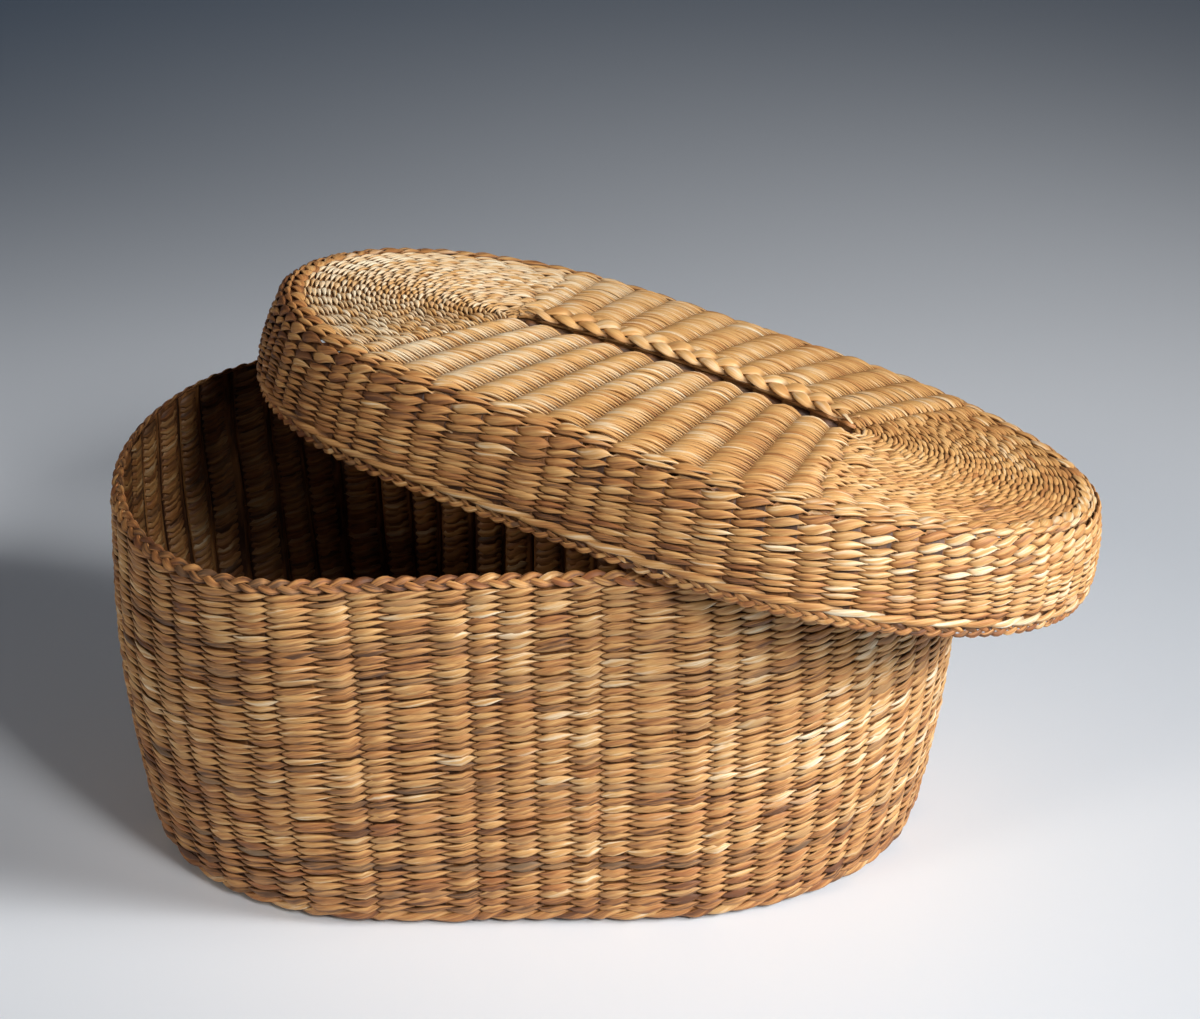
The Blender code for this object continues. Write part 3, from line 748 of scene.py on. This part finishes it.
def makeSkirt(name, spec, replaced):
    dice = np.random.default_rng(spec["seed"])
    bundle = newBundle()
    surface = skirtSurface(spec)
    for row in range(spec["rows"]):
        tone = spec["tone"] + spec["rowToneSpread"] * dice.normal()
        tint = spec["tint"] + spec["rowTintSpread"] * dice.normal()
        twinedRow(bundle, surface, row + 0.5, lid["stakes"], spec, dice, tone, tint)
    finishBundle(name, bundle, wallStraw, "lid", replaced, lidPlace)


def makeLidStakes():
    dice = np.random.default_rng(lidRibs["seed"])
    bundle = newBundle()
    for stake in range(lid["stakes"]):
        addStake(bundle, skirtSurface(lidFine), float(stake), lidRibs, dice)
        addStake(bundle, skirtSurface(lidCoarse), float(stake), coarseRibs, dice)
        addStake(bundle, shoulderSurface, float(stake), shoulderRibs, dice)
    finishBundle("lidStakes", bundle, wallStraw, "lid", (), lidPlace)


makeSkirt("lidFineRows", lidFine, ("lid_skirt_fine_wefts",))
makeSkirt("lidCoarseRows", lidCoarse, ("lid_skirt_coarse_wefts",))

binding = {
    "levels": (0.0042, 0.0072), "rows": 1, "growth": 0.0, "crossings": 69,
    "strands": 3, "stops": ropeStops, "sides": 8,
    "bias": 0.0, "overlap": 0.0, "leaf": 0.8, "pinch": 0.5, "wide": 0.80, "thick": 0.0013,
    "depth": 0.00120, "fullStitch": 0.006, "slant": 1.0, "lean": 0.5, "round": 0.9,
    "twist": 8.0, "uneven": 0.10, "edgeShade": 0.3,
    "tone": 0.48, "toneSpread": 0.12, "endLightTones": (-0.10, 0.20),
    "tint": 0.05, "tintSpread": 0.12, "blade": 3, "seed": 51,
}


def bindingSurface(stake, row):
    return skirtSurface(binding)(stake * lid["stakes"] / binding["crossings"], row + 0.5)


ropeRow("lidBindingRope", bindingSurface, binding, "lid", ("lid_binding_row",), lidPlace)

shoulder = dict(lidCoarse, inset=0.0018, level=0.0318, back=0.0046, rise=0.0012, rows=2, rowTone=0.05,
                slant=0.9, depth=0.00085, thick=0.00125, wide=1.24, pinch=0.30, tone=0.45, tint=0.09,
                endLightTones=(-0.06, 0.15), seed=52)


def shoulderSurface(stake, row):
    # a quarter turn, back over the edge of the lid
    place, normal = ovalAt(outline["lidShoulder"], lidStake(stake))
    turn = 0.5 * math.pi * row / shoulder["rows"]
    inset = shoulder["inset"] + shoulder["back"] * (1.0 - math.cos(turn))
    level = shoulder["level"] + shoulder["rise"] * math.sin(turn)
    return np.column_stack((place - normal * inset, np.full(len(place), level)))


def makeShoulder():
    dice = np.random.default_rng(shoulder["seed"])
    bundle = newBundle()
    for row in range(shoulder["rows"]):
        twinedRow(bundle, shoulderSurface, row + 0.5, lid["stakes"], shoulder, dice,
                  shoulder["tone"] + shoulder["rowTone"] * row, shoulder["tint"])
    finishBundle("lidShoulderRows", bundle, rowStraw, "lid", ("lid_shoulder_row",), lidPlace)


makeShoulder()
makeLidStakes()

lidBraid = {
    "turns": 52, "sections": 14, "sides": 8, "way": -1.0, "sway": 0.00140, "lift": 0.00036,
    "wide": 0.0018, "thick": 0.0008, "pinch": 0.70, "inset": 0.0019, "level": 0.0028,
    "tone": 0.36, "toneSpread": 0.12, "tint": 0.14, "tintSpread": 0.18, "seed": 61,
}


def lidBraidLine(share):
    place, normal = ovalAt(outline["lidFoot"], share)
    place = place - normal * lidBraid["inset"]
    lift = lid["endLift"] * (place[:, 0] / outline["lidFoot"][0]) ** 2
    out = np.column_stack((normal, np.zeros(len(share))))
    upward = np.broadcast_to((0.0, 0.0, 1.0), out.shape)
    return np.column_stack((place, lidBraid["level"] + lift)), upward, out


makePlait("lidEdgeBraid", lidBraidLine, lidBraid, braidStraw, "lid", ("lid_rim_braid",), lidPlace)

# oval discs: rows that run round a middle line, for the lid's top and for the base

top = {
    "dome": 0.0035, "seamHalf": 0.0553, "seamCentre": (-0.0021, -0.0020), "seamBow": 0.0060, "slit": 0.0016,
    "edgeInset": 0.0062, "panelSpread": 0.012, "rows": 44, "stakes": 64, "crowding": 0.15,
    "scallop": 0.0020, "scallopRows": 2.4,      # each rib starts a little back from the slit
    "tuck": 0.0038, "tuckRows": 0.8,            # and bends down into it
    # painted shade: the rows by the slit are darker, for the shadow under the plait
    "slitShade": 0.6, "slitShadeRows": 0.6,
    "fanPitch": 0.0052, "fanCalm": 0.5,         # least room for a rib in a fan, and depth left to its stitches
    "strands": 2, "stops": stitchStops, "sides": 8,
    "bias": 0.36, "overlap": 0.32, "leaf": 0.85, "pinch": 0.12, "wide": 1.04, "thick": 0.00105,
    "depth": 0.00180, "fullStitch": 0.0065, "slant": 0.7, "lean": 0.3, "round": 0.85,
    "twist": 6.0, "uneven": 0.16, "edgeShade": 0.45, "facing": -1.0,
    "tone": 0.52, "toneSpread": 0.06, "rowToneSpread": 0.04, "endLightTones": (0.22, -0.14),
    "tint": 0.0, "tintSpread": 0.10, "rowTintSpread": 0.06, "blade": 4, "seed": 71,
}
topRibs = {"rows": (0.6, top["rows"] + 1.2), "thick": 0.0008, "tone": 0.38, "paintedLight": 0.15, "seed": 72}


def domeHeight(x, y):
    reach = (x / outline["lidShoulder"][0]) ** 2 + (y / outline["lidShoulder"][1]) ** 2
    return lid["height"] + top["dome"] * np.maximum(0.0, 1.0 - reach)


def seamPoint(share, behind=0.0):
    across = 2.0 * share - 1.0
    return np.column_stack((top["seamCentre"][0] + across * top["seamHalf"],
                            top["seamCentre"][1] + top["seamBow"] * (1.0 - across ** 2) + behind))


def edgeFraction(oval, x, front):
    fraction = np.linspace(0.0, 0.5, 400) if front else np.linspace(1.0, 0.5, 400)
    place, _ = ovalAt(oval, fraction)
    return float(np.interp(x, place[:, 0], fraction))


def discParts(oval, left, right, stakes, crowding):
    # where round the edge the front panel, right fan, back panel and left fan begin, and the stakes of each
    marks = [edgeFraction(oval, left, True), edgeFraction(oval, right, True),
             edgeFraction(oval, right, False), edgeFraction(oval, left, False)]
    panel = round((marks[1] - marks[0]) * stakes / (1.0 + crowding))
    fan = (stakes - 2 * panel) // 2
    return marks + [marks[0] + 1.0], panel, fan


def narrower(oval, inset):
    return oval - np.array((1, 1, 1, 1, 0)) * inset


def stakeKnots(panel, fan):
    return np.cumsum((0, panel, fan, panel, fan))


topEdge = narrower(outline["lidShoulder"], top["edgeInset"])
topMiddle, panelReach = top["seamCentre"][0], top["seamHalf"] + top["panelSpread"]
topMarks, topPanel, topFan = discParts(topEdge, topMiddle - panelReach, topMiddle + panelReach,
                                       top["stakes"], top["crowding"])
topKnots = stakeKnots(topPanel, topFan)


def innerLine(stake, knots, slit, seam):
    # the middle line, walked round: its front, its right end, its back and its left end
    stake = stake % knots[4]
    share = np.interp(stake, knots, (0.0, 1.0, 1.0, 0.0, 0.0))
    turn = np.interp(stake, knots, (-0.5, -0.5, 0.5, 0.5, 1.5)) * math.pi
    onBack = (stake >= knots[2]) & (stake <= knots[3])
    side = np.where(onBack, 1.0, np.where(stake < knots[1], -1.0, np.sin(turn)))
    ends = np.where((stake > knots[1]) & (stake < knots[2]) | (stake > knots[3]), np.cos(turn), 0.0)
    place = seam(share)
    return place + slit * np.column_stack((ends, side))


def topSurface(stake, row):
    reach = row / top["rows"]
    nearSlit = max(row, 0.0)
    inner = innerLine(stake, topKnots, top["slit"], seamPoint)
    outer, _ = ovalAt(topEdge, np.interp(stake % topKnots[4], topKnots, topMarks))
    notch = top["scallop"] * np.abs(np.sin(math.pi * stake)) * math.exp(-nearSlit / top["scallopRows"])
    place = inner + (outer - inner) * reach
    place = place + unit(outer - inner) * notch[:, None]
    inset = top["depth"] + 0.5 * top["thick"]
    tuck = top["tuck"] * math.exp(-nearSlit / top["tuckRows"])
    return np.column_stack((place, domeHeight(place[:, 0], place[:, 1]) - inset - tuck))


def fanStakes(fan, radius, pitch):
    # near the middle line a fan has room for only some of its stakes
    used = fan
    while used > 3 and math.pi * radius / used < pitch:
        used = (used + 1) // 2
    return used


def makeTop():
    dice = np.random.default_rng(top["seed"])
    nodes = ("lid_top_front", "lid_top_back", "lid_fan_left", "lid_fan_right")
    parts = ("Seam", "Inner", "Outer", "Edge")
    perPart = top["rows"] // len(parts)
    fanReach = topEdge[0] - top["seamHalf"]
    for part, name in enumerate(parts):
        bundle = newBundle()
        for row in range(part * perPart, (part + 1) * perPart):
            used = fanStakes(topFan, fanReach * (row + 0.8) / top["rows"], top["fanPitch"])
            knots = stakeKnots(topPanel, used)
            drift = dice.uniform(-0.5, 0.5)

            def inFan(crossing, knots=knots):
                # 1 inside a fan, 0 in the panels, and in between over the first two ribs
                inside = np.zeros(len(crossing))
                for start, end in ((knots[1], knots[2]), (knots[3], knots[4])):
                    inside = inside + np.clip(np.minimum(crossing - start, end - crossing) / 2.0, 0.0, 1.0)
                return inside

            def stakeAt(crossing, knots=knots, drift=drift, inFan=inFan):
                return np.interp(crossing + drift * inFan(crossing), knots, topKnots)

            def calmAt(crossing, inFan=inFan):
                return 1.0 - (1.0 - top["fanCalm"]) * inFan(crossing)

            # painted shade: rows near the slit are darker, for the shadow under the plait
            shade = top["slitShade"] * math.exp(-row / top["slitShadeRows"])
            tone = top["tone"] + top["rowToneSpread"] * dice.normal() - shade
            tint = top["tint"] + top["rowTintSpread"] * dice.normal()
            twinedRow(bundle, topSurface, row + 0.5, int(knots[4]), top, dice, tone, tint, stakeAt, calmAt)
        replaced = nodes if name == "Seam" else ()
        finishBundle("lidTop" + name + "Rows", bundle, topStraw, "lid", replaced, lidPlace)


def makeTopStakes():
    dice = np.random.default_rng(topRibs["seed"])
    bundle = newBundle()
    for stake in range(int(topKnots[4])):
        addStake(bundle, topSurface, float(stake), topRibs, dice)
    finishBundle("lidTopStakes", bundle, topStraw, "lid", (), lidPlace)


makeTop()
makeTopStakes()

plait = {
    "offset": 0.0033, "turns": 4.75, "sections": 32, "sides": 12, "way": 1.0, "sway": 0.0025, "lift": 0.00075,
    "wide": 0.0041, "thick": 0.0014, "pinch": 0.50, "seat": 0.0013, "ends": 0.02, "tilt": 24.0,
    "tone": 0.54, "toneSpread": 0.08, "tint": 0.0, "tintSpread": 0.12, "seed": 81,
}


def plaitLine(share):
    stretched = share * (1.0 + 2.0 * plait["ends"]) - plait["ends"]
    place = seamPoint(stretched, plait["offset"])
    height = domeHeight(place[:, 0], place[:, 1]) + plait["seat"]
    middle = np.column_stack((place, height))
    along = unit(np.gradient(middle, axis=0))
    back = unit(np.cross(np.broadcast_to((0.0, 0.0, 1.0), middle.shape), along))
    tilt = math.radians(plait["tilt"])
    lift = np.array((0.0, 0.0, 1.0)) * math.cos(tilt) - back * math.sin(tilt)
    return middle, unit(np.cross(lift, along)), lift


makePlait("seamPlait", plaitLine, plait, topStraw, "lid",
          ("plait_strand_1", "plait_strand_2", "plait_strand_3"), lidPlace, closed=False)

# woven base, flat on the floor inside the foot row

base = {
    "inset": 0.0044, "level": 0.0019, "rows": 24, "middle": 0.045, "slit": 0.0004, "fanPitch": 0.0036,
    "strands": 2, "stops": matStops, "sides": 6,
    "bias": 0.0, "overlap": 0.0, "leaf": 0.8, "pinch": 0.5, "wide": 1.1, "thick": 0.0011,
    "depth": 0.00075, "fullStitch": 0.008, "slant": 1.0, "lean": 0.4, "round": 0.8,
    "twist": 6.0, "uneven": 0.08, "edgeShade": 0.3,
    "tone": 0.42, "toneSpread": 0.10, "endLightTones": (0.0, 0.0),
    "tint": 0.0, "tintSpread": 0.12, "blade": 5, "seed": 91,
}
baseRibs = {"rows": (0.6, base["rows"] + 0.6), "thick": 0.0008, "tone": 0.35, "paintedLight": 0.1}
baseEdge = narrower(outline["base"], base["inset"])
baseMarks, basePanel, baseFan = discParts(baseEdge, -base["middle"], base["middle"], wall["stakes"], 0.0)
baseKnots = stakeKnots(basePanel, baseFan)


def baseSeam(share):
    return np.column_stack(((2.0 * share - 1.0) * base["middle"], np.zeros(len(share))))


def baseSurface(stake, row):
    inner = innerLine(stake, baseKnots, base["slit"], baseSeam)
    outer, _ = ovalAt(baseEdge, np.interp(stake % baseKnots[4], baseKnots, baseMarks))
    place = inner + (outer - inner) * (row / base["rows"])
    return np.column_stack((place, np.full(len(place), base["level"])))


def makeBase():
    dice = np.random.default_rng(base["seed"])
    bundle = newBundle()
    fanReach = baseEdge[0] - base["middle"]
    for row in range(base["rows"]):
        used = fanStakes(baseFan, fanReach * (row + 0.8) / base["rows"], base["fanPitch"])
        knots = stakeKnots(basePanel, used)
        twinedRow(bundle, baseSurface, row + 0.5, int(knots[4]), base, dice, base["tone"], base["tint"],
                  lambda crossing: np.interp(crossing, knots, baseKnots))
    for stake in range(int(baseKnots[4])):
        addStake(bundle, baseSurface, float(stake), baseRibs, dice)
    finishBundle("baseMat", bundle, baseStraw, "body", ("base_mat",))


makeBase()

print("all pieces ready")
